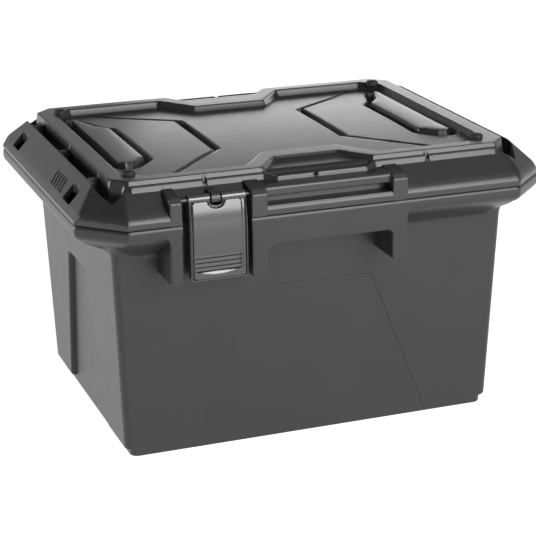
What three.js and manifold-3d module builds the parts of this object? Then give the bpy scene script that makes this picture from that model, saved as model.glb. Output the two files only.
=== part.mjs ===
// A rigid moulded crate with a lift-off lid held by two over-the-rim latches.
// Millimetres, +Z up, origin at the centre of the base; the long side with the
// first latch faces -Y, and the far side is the same turned half way about Z.

import * as THREE from 'three';
import { mergeVertices } from 'three/addons/utils/BufferGeometryUtils.js';
import Module from 'manifold-3d';

const wasm = await Module();
wasm.setup();

// ---------------------------------------------------------------- dimensions

const GAP = 0.3;                        // clearance between neighbouring pieces
const WALL = 3.6;                       // moulded wall thickness
const FAR = 30;                         // how far cutting tools overrun

// Tub
const BASE_X = 158.1;                   // half length at the floor
const BASE_Y = 116.2;                   // half width at the floor
const DRAFT_X = 0.039;                  // outward lean of the walls, mm per mm
const DRAFT_Y = 0.034;
const PLINTH_Z = 6.5;                   // height of the inset foot
const PILLAR = 4.4;                     // how far the end pillars stand proud
const CORNER_R = 6;
const FLOOR = 4;
const PANEL_TOP = 134;                  // top of the pressed panels in the walls
const END_PANEL = { top: 29, bottom: 63, depth: PILLAR };
const SIDE_PANEL = { top: 51, bottom: 105, depth: 0.8 };

// Rim flange, shared by tub and lid
const RIM_X = 200;
const RIM_Y = 158.4;
const CUT_X = 33.6;                     // corner chamfer of the rim
const CUT_Y = 32.3;
const FLARE_Z = 174.5;                  // where the flange leaves the wall
const SKIRT_Z = 194.5;                  // lower edge of the upright rim band
const SEAM_Z = 205.5;                   // top of the tub
const LID_Z = SEAM_Z + GAP;             // underside of the lid

// Lid
const END_LIP_Z = 210.5;                // foot of the sloping end wings
const SIDE_LIP_Z = 213.8;               // foot of the sloping long flanks
const CUT_LIP_Z = 214.5;                // foot of the sloping corners
const WING_Z = 233.5;                   // top of the end wings
const WING_X = 179;                     // inner edge of the end wings
const FLANK_Y = 133;                    // where the flank meets the top block
const FLANK_Z = 229.5;
const CORNER_RUN = 26;                  // how far the corner slope runs in
const TOP_X = 170;                      // top block, outside
const TOP_Y = 130.5;
const TOP_CUT = 13.5;
const TOP_Z = 237;
const PANEL_Z = 231;                    // sunk field in the top
const BAY_Z = 233.5;                    // low bays in the middle of the long sides
const TRENCH_Z = 221;                   // floor of the trenches beside the wings
const RIB_T = 2.6;                      // cross ribs in the trenches
const RIBS = [-91, 0, 91];
const INNER_X = 165.9;                  // upright wall inside the lid
const INNER_Y = 122.9;
const CEILING = 227.5;
const TIE = { x0: 186.5, x1: 195.5, y0: 78, y1: 98 };

// Posts, latch pocket and grips on the long side
const POST_X = [-132.5, -122.7];        // outer post of the latch pocket
const LEG_X = [53, 66.2];               // the two posts either side of the grip
const LEG_Z = 157;                      // lower end of the posts
const APRON_Z = 182;                    // lower edge of the skirt over the grip
const APRON_T = 4;
const POCKET_BACK = -145.5;
const POST_TOP = { front: 226.5, back: 229.3, setBack: 5 };
const RAIL = { y: -153, z0: 219.7, z1: 228 };
const GRIP_BACK = -143;                 // back of the finger groove under the rail
const GRIP_Z = 213.5;                   // floor of that groove

// Latch
const PIVOT = { y: -151, z: 223.6 };
const PIN_R = 2;
const BORE_R = 2.4;
const BARREL_R = 4.3;
const LATCH_X = [-117, -69.4];
const KNUCKLE_X = [-98, -90.6];
const LATCH_T = 5;                      // thickness of the latch plate
const LATCH_FOOT = 159;
const CATCH = { x0: -108, x1: -78, y: -150.6, z0: 172, z1: 176 };
const HOOK = { y: -151, z0: 168, z1: 171.4 };

// Small pieces
const PAD = { x: 150.3, y: 108.3, r: 5.6, top: 240.3, sunk: 1 };
const SEAL = { half: 2, height: 2.8 };

// ------------------------------------------------------------------- shaping

/** An open list of [x, y] corners as a three.js shape. */
function shapeOf(points) {
  return new THREE.Shape(points.map(([x, y]) => new THREE.Vector2(x, y)));
}

/** A prism of the outline between two heights. */
function prism(points, z0, z1) {
  const geometry = new THREE.ExtrudeGeometry(shapeOf(points), { depth: z1 - z0, bevelEnabled: false });
  return geometry.translate(0, 0, z0);
}

/** A solid whose outline runs from one list of corners to another of the same length. */
function loft(low, high, z0, z1) {
  const geometry = prism(low, z0, z1);
  const place = geometry.attributes.position;
  const middle = (z0 + z1) / 2;
  for (let i = 0; i < place.count; i += 1) {
    if (place.getZ(i) < middle) continue;
    const x = place.getX(i);
    const y = place.getY(i);
    const k = low.findIndex(([a, b]) => Math.hypot(a - x, b - y) < 1e-3);
    place.setXY(i, high[k][0], high[k][1]);
  }
  return geometry;
}

/** An outline in the YZ plane, swept along X. */
function alongX(points, x0, x1) {
  const turn = new THREE.Matrix4().makeBasis(
    new THREE.Vector3(0, 1, 0), new THREE.Vector3(0, 0, 1), new THREE.Vector3(1, 0, 0));
  return prism(points, x0, x1).applyMatrix4(turn);
}

/** An outline in the XZ plane, swept along Y. */
function alongY(points, y0, y1) {
  const turn = new THREE.Matrix4().makeBasis(
    new THREE.Vector3(1, 0, 0), new THREE.Vector3(0, 0, 1), new THREE.Vector3(0, -1, 0));
  return prism(points, -y1, -y0).applyMatrix4(turn);
}

function block(x0, x1, y0, y1, z0, z1) {
  const geometry = new THREE.BoxGeometry(x1 - x0, y1 - y0, z1 - z0);
  return geometry.translate((x0 + x1) / 2, (y0 + y1) / 2, (z0 + z1) / 2);
}

/** A round bar along X. */
function barX(x0, x1, y, z, radius) {
  const geometry = new THREE.CylinderGeometry(radius, radius, x1 - x0, 20);
  return geometry.rotateZ(Math.PI / 2).translate((x0 + x1) / 2, y, z);
}

/** The same shape on the far long side. */
function turned(geometry) {
  return geometry.clone().rotateZ(Math.PI);
}

/** A shape on both long sides. */
function both(...list) {
  return list.flatMap((geometry) => [geometry, turned(geometry)]);
}

function chamfered(hx, hy, cx, cy) {
  return [
    [-hx + cx, -hy], [hx - cx, -hy], [hx, -hy + cy], [hx, hy - cy],
    [hx - cx, hy], [-hx + cx, hy], [-hx, hy - cy], [-hx, -hy + cy],
  ];
}

function rounded(hx, hy, r, steps = 4) {
  const points = [];
  const corners = [
    [hx - r, -hy + r, -90], [hx - r, hy - r, 0], [-hx + r, hy - r, 90], [-hx + r, -hy + r, 180],
  ];
  for (const [x, y, start] of corners) {
    for (let i = 0; i <= steps; i += 1) {
      const a = THREE.MathUtils.degToRad(start + (90 * i) / steps);
      points.push([x + r * Math.cos(a), y + r * Math.sin(a)]);
    }
  }
  return points;
}

/** The drafted wall outline of the tub at a height, moved in or out by grow. */
function wallOutline(z, growX, growY, radius) {
  return rounded(BASE_X + DRAFT_X * z + growX, BASE_Y + DRAFT_Y * z + growY, radius);
}

function drafted(z0, z1, growX, growY, radius) {
  return loft(wallOutline(z0, growX, growY, radius), wallOutline(z1, growX, growY, radius), z0, z1);
}

// --------------------------------------------------------------------- solids

function solid(geometry) {
  const bare = geometry.clone();
  bare.deleteAttribute('normal');
  bare.deleteAttribute('uv');
  const merged = mergeVertices(bare, 1e-4);
  return new wasm.Manifold(new wasm.Mesh({
    numProp: 3,
    vertProperties: new Float32Array(merged.attributes.position.array),
    triVerts: new Uint32Array(merged.index.array),
  }));
}

function join(list) {
  return list.map(solid).reduce((a, b) => a.add(b));
}

function cut(base, list) {
  return list.map(solid).reduce((a, b) => a.subtract(b), base);
}

function common(list) {
  return list.map(solid).reduce((a, b) => a.intersect(b));
}

const part = new THREE.Group();

function geometryOf(body) {
  const mesh = body.getMesh();
  const geometry = new THREE.BufferGeometry();
  geometry.setAttribute('position', new THREE.BufferAttribute(new Float32Array(mesh.vertProperties), 3));
  geometry.setIndex(new THREE.BufferAttribute(new Uint32Array(mesh.triVerts), 1));
  geometry.computeVertexNormals();
  return geometry;
}

function addPiece(name, body, colour, roughness) {
  const geometry = geometryOf(body);
  const material = new THREE.MeshStandardMaterial({ color: colour, roughness, metalness: 0 });
  const piece = new THREE.Mesh(geometry, material);
  piece.name = name;
  part.add(piece);
}

// ------------------------------------------------------------------------ tub

/** A trapezoid pressed into the end walls; wider by grow all round, x0 to x1 deep. */
function endPanel(x0, x1, grow) {
  const outline = [
    [-END_PANEL.bottom - grow, 0], [END_PANEL.bottom + grow, 0],
    [END_PANEL.top + grow, PANEL_TOP + grow], [-END_PANEL.top - grow, PANEL_TOP + grow],
  ];
  const geometry = alongX(outline, x0, x1);
  const place = geometry.attributes.position;
  for (let i = 0; i < place.count; i += 1) {
    place.setX(i, place.getX(i) + DRAFT_X * place.getZ(i));
  }
  return geometry;
}

/** The shallow trapezoid pressed into the long walls. */
function sidePanel(depth) {
  const outline = [
    [-SIDE_PANEL.bottom, PLINTH_Z], [SIDE_PANEL.bottom, PLINTH_Z],
    [SIDE_PANEL.top, PANEL_TOP], [-SIDE_PANEL.top, PANEL_TOP],
  ];
  const geometry = alongY(outline, -BASE_Y - FAR, -BASE_Y + depth);
  const place = geometry.attributes.position;
  for (let i = 0; i < place.count; i += 1) {
    place.setY(i, place.getY(i) - DRAFT_Y * place.getZ(i));
  }
  return geometry;
}

function makeTub() {
  const flareLow = chamfered(167.5, 122.6, 6, 6 * CUT_Y / CUT_X);
  const rim = chamfered(RIM_X, RIM_Y, CUT_X, CUT_Y);
  const leftLeg = [-LEG_X[1], -LEG_X[0]];
  const shell = join([
    drafted(0, PLINTH_Z + 1, 0, -0.4, CORNER_R),
    drafted(PLINTH_Z, SEAM_Z, PILLAR, 0, CORNER_R),
    loft(flareLow, rim, FLARE_Z, SKIRT_Z),
    prism(rim, SKIRT_Z, SEAM_Z),
    ...both(
      block(POST_X[0], leftLeg[1], -RIM_Y, -118, LEG_Z, SEAM_Z),
      block(LEG_X[0], LEG_X[1], -RIM_Y, -118, LEG_Z, SEAM_Z),
      block(leftLeg[0], LEG_X[1], -RIM_Y, -RIM_Y + APRON_T, APRON_Z, SEAM_Z),
    ),
  ]);
  // The gutter between the upright wall and the outer skirt of the flange.
  const skirtIn = chamfered(RIM_X - WALL, RIM_Y - WALL, CUT_X - 1.5, CUT_Y - 1.5);
  const gutterLow = chamfered(167.6, 122.7, 4.4, 4.4);
  const gutter = cut(
    join([prism(skirtIn, SKIRT_Z + 3, SEAM_Z + 1), loft(gutterLow, skirtIn, FLARE_Z + 5, SKIRT_Z + 3)]),
    [
      drafted(0, SEAM_Z + FAR, PILLAR, 0, CORNER_R),
      ...both(block(POST_X[0] - 2, leftLeg[1] + 2, -RIM_Y, -118, LEG_Z, SEAM_Z + FAR)),
    ],
  );
  const cavity = cut(
    solid(drafted(FLOOR, SEAM_Z + 1, PILLAR - WALL, -WALL, CORNER_R - 3)),
    [
      endPanel(BASE_X - WALL, BASE_X + FAR, WALL),
      turned(endPanel(BASE_X - WALL, BASE_X + FAR, WALL)),
    ],
  );
  const pocket = block(POST_X[1], leftLeg[0], -RIM_Y - FAR, POCKET_BACK, LEG_Z - FAR, SEAM_Z + FAR);
  const catchBar = block(CATCH.x0, CATCH.x1, CATCH.y, POCKET_BACK + 1, CATCH.z0, CATCH.z1);
  const tie = block(TIE.x0, TIE.x1, TIE.y0, TIE.y1, FLARE_Z - FAR, SEAM_Z + FAR);
  const tieOther = block(TIE.x0, TIE.x1, -TIE.y1, -TIE.y0, FLARE_Z - FAR, SEAM_Z + FAR);
  const opened = cut(shell.subtract(gutter).subtract(cavity), [
    ...both(pocket, tie, tieOther),
    endPanel(BASE_X, BASE_X + FAR, 0),
    turned(endPanel(BASE_X, BASE_X + FAR, 0)),
    ...both(sidePanel(SIDE_PANEL.depth)),
  ]);
  return both(catchBar).map(solid).reduce((a, b) => a.add(b), opened);
}

// ------------------------------------------------------------------------ lid

/** The sloping outer form of the lid, moved in by inset. */
function lidForm(inset, z0) {
  const wingSlope = (WING_Z - END_LIP_Z) / (RIM_X - WING_X);
  const flankSlope = (FLANK_Z - SIDE_LIP_Z) / (RIM_Y - FLANK_Y);
  const top = WING_Z - inset * 1.3;
  const outline = (half, lip, slope) => {
    const drop = inset * Math.sqrt(1 + slope * slope);
    const edge = lip + slope * inset - drop;
    const crest = half - (top - lip + drop) / slope;
    return [[-half + inset, z0], [half - inset, z0], [half - inset, edge], [crest, top], [-crest, top],
      [-half + inset, edge]];
  };
  const cutX = CUT_X - inset * 0.41;
  const cutY = CUT_Y - inset * 0.41;
  const low = chamfered(RIM_X - inset, RIM_Y - inset, cutX, cutY);
  const run = CORNER_RUN * Math.SQRT2;
  const high = chamfered(RIM_X - inset, RIM_Y - inset, cutX + run, cutY + run);
  const cornerLip = CUT_LIP_Z - inset * 0.5;
  const corners = join([prism(low, z0, cornerLip), loft(low, high, cornerLip, WING_Z)]);
  return common([
    alongY(outline(RIM_X, END_LIP_Z, wingSlope), -RIM_Y - 1, RIM_Y + 1),
    alongX(outline(RIM_Y, SIDE_LIP_Z, flankSlope), -RIM_X - 1, RIM_X + 1),
  ]).intersect(corners);
}

/** The sunk field in the top: broad at both ends, waisted in the middle. */
function fieldOutline() {
  const quarter = [[34, 86], [54, 118.5], [140, 118.5], [156, 104]];
  const mirrored = quarter.map(([x, y]) => [x, -y]);
  const right = [...mirrored, ...quarter.slice().reverse()];
  const left = right.map(([x, y]) => [-x, -y]);
  return [...right, ...left];
}

function lidPost(x0, x1) {
  const { front, back, setBack } = POST_TOP;
  const outline = [
    [-RIM_Y, LID_Z], [-TOP_Y + 4, LID_Z], [-TOP_Y + 4, back], [-FLANK_Y, back],
    [-RIM_Y + setBack, front + 0.8], [-RIM_Y, front - setBack + 1],
  ];
  return alongX(outline, x0, x1);
}

function makeLid() {
  const leftLeg = [-LEG_X[1], -LEG_X[0]];
  const bay = [[-46, -TOP_Y + 3], [-38, -140], [38, -140], [46, -TOP_Y + 3]];
  const bayRecess = [[-27, -103.5], [-46, -TOP_Y - FAR], [46, -TOP_Y - FAR], [27, -103.5]];
  const outside = [
    prism(chamfered(TOP_X, TOP_Y, TOP_CUT, TOP_CUT), TRENCH_Z - 2, TOP_Z),
    ...both(prism(bay, 222, BAY_Z), lidPost(POST_X[0], POST_X[1]), lidPost(...leftLeg), lidPost(...LEG_X)),
  ];
  const gripUnder = block(-LEG_X[0], LEG_X[0], -RIM_Y - FAR, GRIP_BACK, GRIP_Z, WING_Z + FAR);
  const pocket = block(POST_X[1], leftLeg[0], -RIM_Y - FAR, POCKET_BACK + 2, LID_Z - FAR, WING_Z + FAR);
  const ribs = RIBS.map((y) => block(-FAR * 10, FAR * 10, y - RIB_T / 2, y + RIB_T / 2, 0, WING_Z - 1.5));
  const trenchTop = [
    [-WING_X, -116], [-TOP_X - 0.5, -137.5], [-163, -131], [-160, -116], [-160, 116], [-163, 131],
    [-TOP_X - 0.5, 137.5], [-WING_X, 116],
  ];
  const trench = cut(solid(prism(trenchTop, TRENCH_Z, WING_Z + FAR)), ribs);

  const railBody = both(
    block(-LEG_X[0] - 1, LEG_X[0] + 1, RAIL.y, -TOP_Y + 2, RAIL.z0, RAIL.z1),
    block(KNUCKLE_X[0], KNUCKLE_X[1], PIVOT.y, -TOP_Y, PIVOT.z - BARREL_R, PIVOT.z + BARREL_R - 1),
    barX(KNUCKLE_X[0], KNUCKLE_X[1], PIVOT.y, PIVOT.z, BARREL_R),
  );
  const farTrench = cut(solid(turned(prism(trenchTop, TRENCH_Z, WING_Z + FAR))), ribs);
  const sloped = lidForm(0, LID_Z).subtract(trench).subtract(farTrench);
  let lid = outside.map(solid).reduce((a, b) => a.add(b), sloped);
  lid = cut(lid, [
    prism(fieldOutline(), PANEL_Z, TOP_Z + FAR),
    ...both(prism(bayRecess, BAY_Z, TOP_Z + FAR), gripUnder, pocket),
  ]);
  lid = railBody.map(solid).reduce((a, b) => a.add(b), lid);

  // Underside: a shallow box inside the upright wall, and a hollow all round outside it.
  const hollow = cut(lidForm(WALL, LID_Z - FAR), [
    prism(rounded(INNER_X, INNER_Y, CORNER_R), 0, TOP_Z + FAR),
    block(-WING_X - WALL, -INNER_X, -RIM_Y, RIM_Y, TRENCH_Z - WALL, TOP_Z + FAR),
    block(INNER_X, WING_X + WALL, -RIM_Y, RIM_Y, TRENCH_Z - WALL, TOP_Z + FAR),
    ...both(
      block(POST_X[0] + 0.5, leftLeg[1] - 1, -RIM_Y, POCKET_BACK + 2 + WALL, 0, TOP_Z + FAR),
      block(-LEG_X[1] - 1, LEG_X[1] + 1, -RIM_Y, GRIP_BACK + WALL, GRIP_Z - WALL, TOP_Z + FAR),
    ),
  ]);
  lid = lid.subtract(hollow);
  const sealSeat = LID_Z + SEAL.height + GAP;
  return cut(lid, [
    prism(rounded(INNER_X - 6, INNER_Y - 6, CORNER_R - 2), LID_Z - FAR, CEILING),
    prism(rounded(INNER_X + 1, INNER_Y + 1, CORNER_R), LID_Z - FAR, sealSeat),
    ...both(
      block(TIE.x0, TIE.x1, TIE.y0, TIE.y1, LID_Z - FAR, TOP_Z + FAR),
      block(TIE.x0, TIE.x1, -TIE.y1, -TIE.y0, LID_Z - FAR, TOP_Z + FAR),
      barX(POST_X[0] + 3, leftLeg[1] - 4, PIVOT.y, PIVOT.z, BORE_R),
    ),
    ...padPlaces().map(([x, y]) => padBody(x, y, PAD.r + GAP, TOP_Z - PAD.sunk - GAP, TOP_Z + FAR)),
  ]);
}

// --------------------------------------------------------------- small pieces

function padPlaces() {
  return [[-PAD.x, -PAD.y], [PAD.x, -PAD.y], [PAD.x, PAD.y], [-PAD.x, PAD.y]];
}

function padBody(x, y, radius, z0, z1) {
  const geometry = new THREE.CylinderGeometry(radius, radius, z1 - z0, 24);
  return geometry.rotateX(Math.PI / 2).translate(x, y, (z0 + z1) / 2);
}

function padDome(x, y) {
  const { r, top, sunk } = PAD;
  const profile = [
    [0, TOP_Z - sunk], [r, TOP_Z - sunk], [r, top - 1.6], [r - 1, top - 0.5], [r - 2.6, top], [0, top],
  ];
  const geometry = new THREE.LatheGeometry(profile.map(([a, b]) => new THREE.Vector2(a, b)), 24);
  return geometry.rotateX(Math.PI / 2).translate(x, y, 0);
}

function makeSeal() {
  const middleX = INNER_X - 3;
  const middleY = INNER_Y - 3;
  const z0 = LID_Z;
  const outer = prism(rounded(middleX + SEAL.half, middleY + SEAL.half, 5), z0, z0 + SEAL.height);
  const inner = prism(rounded(middleX - SEAL.half, middleY - SEAL.half, 2), z0 - 1, z0 + SEAL.height + 1);
  return cut(solid(outer), [inner]);
}

/** The latch in its closed place: a curved plate, split barrels and a finger lip. */
function makeLatch() {
  const front = -RIM_Y;
  const inside = front + LATCH_T;
  const plate = [
    [PIVOT.y, PIVOT.z + BARREL_R], [PIVOT.y - 2.6, PIVOT.z + BARREL_R - 0.9], [front + 2.4, PIVOT.z + 0.5],
    [front + 0.6, PIVOT.z - 4], [front, PIVOT.z - 12], [front, 181], [front + 1.6, 169], [front, 164.5],
    [front, LATCH_FOOT], [inside + 2, LATCH_FOOT], [inside, 163], [inside, HOOK.z0 - 0.6],
    [HOOK.y, HOOK.z0], [HOOK.y, HOOK.z1], [inside, HOOK.z1], [inside, PIVOT.z - 9],
    [PIVOT.y, PIVOT.z - BARREL_R],
  ];
  const [x0, x1] = LATCH_X;
  return cut(join([alongX(plate, x0, x1), barX(x0, x1, PIVOT.y, PIVOT.z, BARREL_R)]), [
    barX(x0 - 1, x1 + 1, PIVOT.y, PIVOT.z, BORE_R),
    block(KNUCKLE_X[0] - 0.4, KNUCKLE_X[1] + 0.4, front + 2, PIVOT.y + FAR, PIVOT.z - BARREL_R - 0.6,
      PIVOT.z + FAR),
    block(x0 - 1, x0 + 7, inside, -150, LATCH_FOOT - 1, 173),
    block(x1 - 7, x1 + 1, inside, -150, LATCH_FOOT - 1, 173),
  ]);
}

function makePin() {
  return barX(POST_X[0] + 3.4, -LEG_X[0] - 4.4, PIVOT.y, PIVOT.z, PIN_R);
}

// ------------------------------------------------------------------- assembly

const CHARCOAL = 0x3a3a3c;
const GLOSS = 0x2c2c2e;
const RUBBER = 0x202022;
const STEEL = 0x8d8f92;

const latch = makeLatch();
addPiece('tub', makeTub(), CHARCOAL, 0.62);
addPiece('lid', makeLid(), CHARCOAL, 0.5);
addPiece('lid_seal', makeSeal(), RUBBER, 0.8);
addPiece('latch_front', latch, GLOSS, 0.3);
addPiece('latch_back', solid(turned(geometryOf(latch))), GLOSS, 0.3);
addPiece('latch_pin_front', solid(makePin()), STEEL, 0.35);
addPiece('latch_pin_back', solid(turned(makePin())), STEEL, 0.35);
const padNames = ['stacking_pad_front_left', 'stacking_pad_front_right', 'stacking_pad_back_right',
  'stacking_pad_back_left'];
padPlaces().forEach(([x, y], i) => addPiece(padNames[i], solid(padDome(x, y)), RUBBER, 0.7));

export default part;
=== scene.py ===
"""A moulded utility crate with a lift-off lid and two over-the-rim latches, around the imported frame.

Lengths are in millimetres up to the point where a mesh is made, and metres after that.
The long side with the first latch faces -Y, and the far long side is the same turned half way about Z.
"""

import math

import bmesh
import bpy
import numpy as np
from mathutils import Matrix, Vector


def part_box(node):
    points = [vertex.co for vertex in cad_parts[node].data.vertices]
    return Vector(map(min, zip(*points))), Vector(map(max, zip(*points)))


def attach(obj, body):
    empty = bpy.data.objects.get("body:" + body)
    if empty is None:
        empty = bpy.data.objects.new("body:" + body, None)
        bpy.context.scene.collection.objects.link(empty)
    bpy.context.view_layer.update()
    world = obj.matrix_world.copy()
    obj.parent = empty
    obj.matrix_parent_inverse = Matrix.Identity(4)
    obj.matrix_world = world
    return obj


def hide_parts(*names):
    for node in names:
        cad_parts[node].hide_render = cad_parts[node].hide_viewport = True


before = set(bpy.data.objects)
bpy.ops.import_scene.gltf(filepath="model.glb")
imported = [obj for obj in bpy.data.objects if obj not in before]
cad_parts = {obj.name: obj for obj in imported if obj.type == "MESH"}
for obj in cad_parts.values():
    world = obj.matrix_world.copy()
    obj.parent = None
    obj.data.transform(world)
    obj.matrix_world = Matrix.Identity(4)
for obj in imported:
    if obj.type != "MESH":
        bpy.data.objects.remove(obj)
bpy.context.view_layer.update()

MM = 0.001
FAR = 40.0                                  # how far cutting tools overrun


def box_mm(node):
    """The CAD node's low and high corners in millimetres."""
    low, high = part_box(node)
    return low / MM, high / MM


# ------------------------------------------------------------------- dimensions

_, tub_high = box_mm("tub")
lid_low, lid_high = box_mm("lid")
latch_low, latch_high = box_mm("latch_front")
pin_low, pin_high = box_mm("latch_pin_front")

RIM_X, RIM_Y = tub_high.x, tub_high.y       # rim band of the flange
SEAM_Z, LID_Z, TOP_Z = tub_high.z, lid_low.z, lid_high.z
CUT_X, CUT_Y = 33.6, 32.3                   # corner chamfer of the rim
CUT_SHRINK = 0.41                           # how much a chamfer shortens for each millimetre of inset
WALL = 3.6

# Tub
BASE_X, BASE_Y = 158.1, 116.2               # half sizes of the end panels' and long walls' planes at z 0
DRAFT_X, DRAFT_Y = 0.039, 0.034             # how much they grow for each millimetre of height
PLINTH_Z, PILLAR, FLOOR = 6.5, 4.4, 4.0     # the pillars stand proud of the end panels
CORNER_R = 6.0
PANEL_TOP = 134.0
END_TOP, END_BOTTOM = 29.0, 63.0            # half widths of the panels' trapezoids
SIDE_TOP, SIDE_BOTTOM, SIDE_DEPTH = 50.5, 105.0, 0.9
FLARE_Z, SKIRT_Z, SKIRT_ROLL = 174.5, 194.0, 5.0
LEG_Z, APRON_Z = 157.0, 182.0               # undersides of the posts' legs and of the grip's apron
POST_X = (-132.5, -122.7)
LEG_X = (53.0, 66.2)                        # the grip's legs; the other one mirrors it
MERGE_Y = -117.0                            # how deep the posts run into the shell
POCKET_BACK = -145.5
CATCH_X, CATCH_Y, CATCH_Z = (-108.0, -78.0), (-150.6, -144.5), (172.0, 176.0)

# Lid
END_LIP, SIDE_LIP, CUT_LIP = 210.5, 213.8, 214.5    # where the slopes start from at the rim
WING_X, WING_Z = 179.0, 233.5
FLANK_Y, FLANK_Z = 133.0, 229.5
TOP_X, TOP_Y, TOP_CUT = 170.0, 130.5, 13.5  # outline of the raised border
LIP, LIP_FOOT = 5.0, 2.0                    # the lip's rounding, and the upright band left below it
CUT_SLOPE = 0.72                            # how steeply the cut corners rise
BEAD_Z, BAY_Z, BAY_FALL = 233.4, 235.2, 0.16        # the bead outside the border, the bays and their slope
FIELD_Z, TRENCH_Z, CEILING_Z = 231.0, 221.0, 222.8
INNER_X, INNER_Y = 165.9, 122.9
RIBS = (-91.0, 0.0, 91.0)
TIE_X, TIE_Y = (185.7, 196.3), (77.2, 98.8)
GRIP_BACK, GRIP_Z = -143.0, 213.5
RAIL_Y, RAIL_Z = -153.0, (219.7, 228.0)
RIDGE_Y, RIDGE_PITCH, RIDGES = -36.0, 7.0, 5
LID_GRID = 1.2

# Latch
PIVOT_Y, PIVOT_Z = (pin_low.y + pin_high.y) / 2, (pin_low.z + pin_high.z) / 2
BARREL_R, BORE_R = 4.3, 2.4
ROLL_R = 3.8                                # the visible barrels, a little slimmer than the CAD's
KNUCKLE_X = (-98.0, -90.6)
KNUCKLE_MID = (KNUCKLE_X[0] + KNUCKLE_X[1]) / 2
LATCH_TOP, LATCH_BEND, LATCH_BOW = 224.6, 192.0, 140.0    # above the bend the face leans back in an arc
LATCH_CORNER, LATCH_EDGE = 3.6, 1.1         # outline corners, and the rounding of the face's edge
NOTCH_Z, NOTCH_R = 223.6, 5.2
GRIP_X, GRIP_TOP, GRIP_PITCH, GRIP_BARS, BAR_SHARE = (-113.0, -75.6), 180.6, 3.6, 4, 0.66
SCOOP_Z, SCOOP_X, SCOOP_R = 169.4, 19.0, 5.4
HOOK_Z = (168.0, 171.4)


# ------------------------------------------------------------------ mesh helpers

def make(name, points, faces):
    """A mesh object from points in millimetres."""
    mesh = bpy.data.meshes.new(name)
    mesh.from_pydata((np.asarray(points, float) * MM).tolist(), [], faces)
    piece = bpy.data.objects.new(name, mesh)
    bpy.context.scene.collection.objects.link(piece)
    return piece


def face_out(piece):
    """Turns a closed mesh's faces outwards."""
    b = bmesh.new()
    b.from_mesh(piece.data)
    bmesh.ops.recalc_face_normals(b, faces=b.faces)
    b.to_mesh(piece.data)
    b.free()
    return piece


def fillet(corners, steps=5):
    """A closed outline from (u, v, radius) corners, with arcs in place of the corners."""
    out = []
    count = len(corners)
    for i, (u, v, radius) in enumerate(corners):
        p = Vector((u, v))
        before = (Vector(corners[i - 1][:2]) - p).normalized()
        after = (Vector(corners[(i + 1) % count][:2]) - p).normalized()
        if radius <= 0:
            out.append((u, v))
            continue
        half = before.angle(after) / 2
        reach = radius / math.tan(half)
        centre = p + (before + after).normalized() * (radius / math.sin(half))
        a, c = p + before * reach - centre, p + after * reach - centre
        sweep = math.atan2(a.x * c.y - a.y * c.x, a.dot(c))
        for k in range(steps + 1):
            turn = Matrix.Rotation(sweep * k / steps, 2)
            out.append(tuple(centre + turn @ a))
    return out


def inset_outline(outline, inset):
    """The outline moved inwards; it runs anticlockwise."""
    p = np.array(outline, float)
    edge = np.roll(p, -1, 0) - p
    edge /= np.linalg.norm(edge, axis=1)[:, None]
    normal = np.stack([-edge[:, 1], edge[:, 0]], 1)
    before = np.roll(normal, 1, 0)
    bisector = (normal + before) / (1 + (normal * before).sum(1))[:, None]
    return p + bisector * inset


def anticlockwise(outline):
    """The outline, reversed if it runs clockwise."""
    p = np.array(outline, float)
    q = np.roll(p, -1, 0)
    return outline if (p[:, 0] * q[:, 1] - p[:, 1] * q[:, 0]).sum() > 0 else outline[::-1]


def circle(u, v, radius, count=32):
    """A round outline about (u, v)."""
    turns = np.linspace(0, 2 * math.pi, count + 1)[:-1]
    return [(u + radius * math.cos(a), v + radius * math.sin(a)) for a in turns]


AXES = {"z": (0, 1, 2), "x": (1, 2, 0), "y": (0, 2, 1)}    # where an outline's u, v and the layer go


def loft(name, rings):
    """A closed solid through rings of equal length, each a list of 3-D points."""
    count = len(rings[0])
    points = [p for ring in rings for p in ring]
    faces = []
    for r in range(len(rings) - 1):
        for i in range(count):
            j = (i + 1) % count
            faces.append((r * count + i, r * count + j, (r + 1) * count + j, (r + 1) * count + i))
    faces.append(tuple(range(count))[::-1])
    faces.append(tuple(range((len(rings) - 1) * count, len(rings) * count)))
    return face_out(make(name, points, faces))


def stack(name, outline, layers, axis="z"):
    """A solid that keeps one outline along an axis; each layer is (place along the axis, inset)."""
    outline = anticlockwise(outline)
    order = AXES[axis]
    rings = []
    for w, inset in layers:
        ring = []
        for u, v in inset_outline(outline, inset):
            point = [0.0, 0.0, 0.0]
            point[order[0]], point[order[1]], point[order[2]] = u, v, w
            ring.append(point)
        rings.append(ring)
    return loft(name, rings)


def rounded_layers(w0, w1, r0, r1, steps=4):
    """Layers from w0 to w1 with the edges at either end rounded off."""
    layers = []
    sign = 1 if w1 > w0 else -1
    for radius, place, way in ((r0, w0, 1), (r1, w1, -1)):
        arc = []
        for k in range(steps + 1):
            a = math.pi / 2 * k / steps
            along = sign * way * radius * (1 - math.sin(a))
            arc.append((place + along, radius * (1 - math.cos(a))))
        arc = arc[::-1] if way > 0 else arc
        layers += arc if radius > 0 else [(place, 0.0)]
    return layers


def block(name, x0, x1, y0, y1, z0, z1, radius=0.0):
    """A box with its top and bottom edges rounded."""
    outline = [(x0, y0), (x1, y0), (x1, y1), (x0, y1)]
    return stack(name, outline, rounded_layers(z0, z1, radius, radius))


def turned(piece):
    """A copy of the piece on the far long side."""
    other = piece.copy()
    other.data = piece.data.copy()
    other.data.transform(Matrix.Rotation(math.pi, 4, "Z"))
    bpy.context.scene.collection.objects.link(other)
    return other


def both(*pieces):
    """Each piece and its copy on the far long side."""
    return [q for p in pieces for q in (p, turned(p))]


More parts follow.
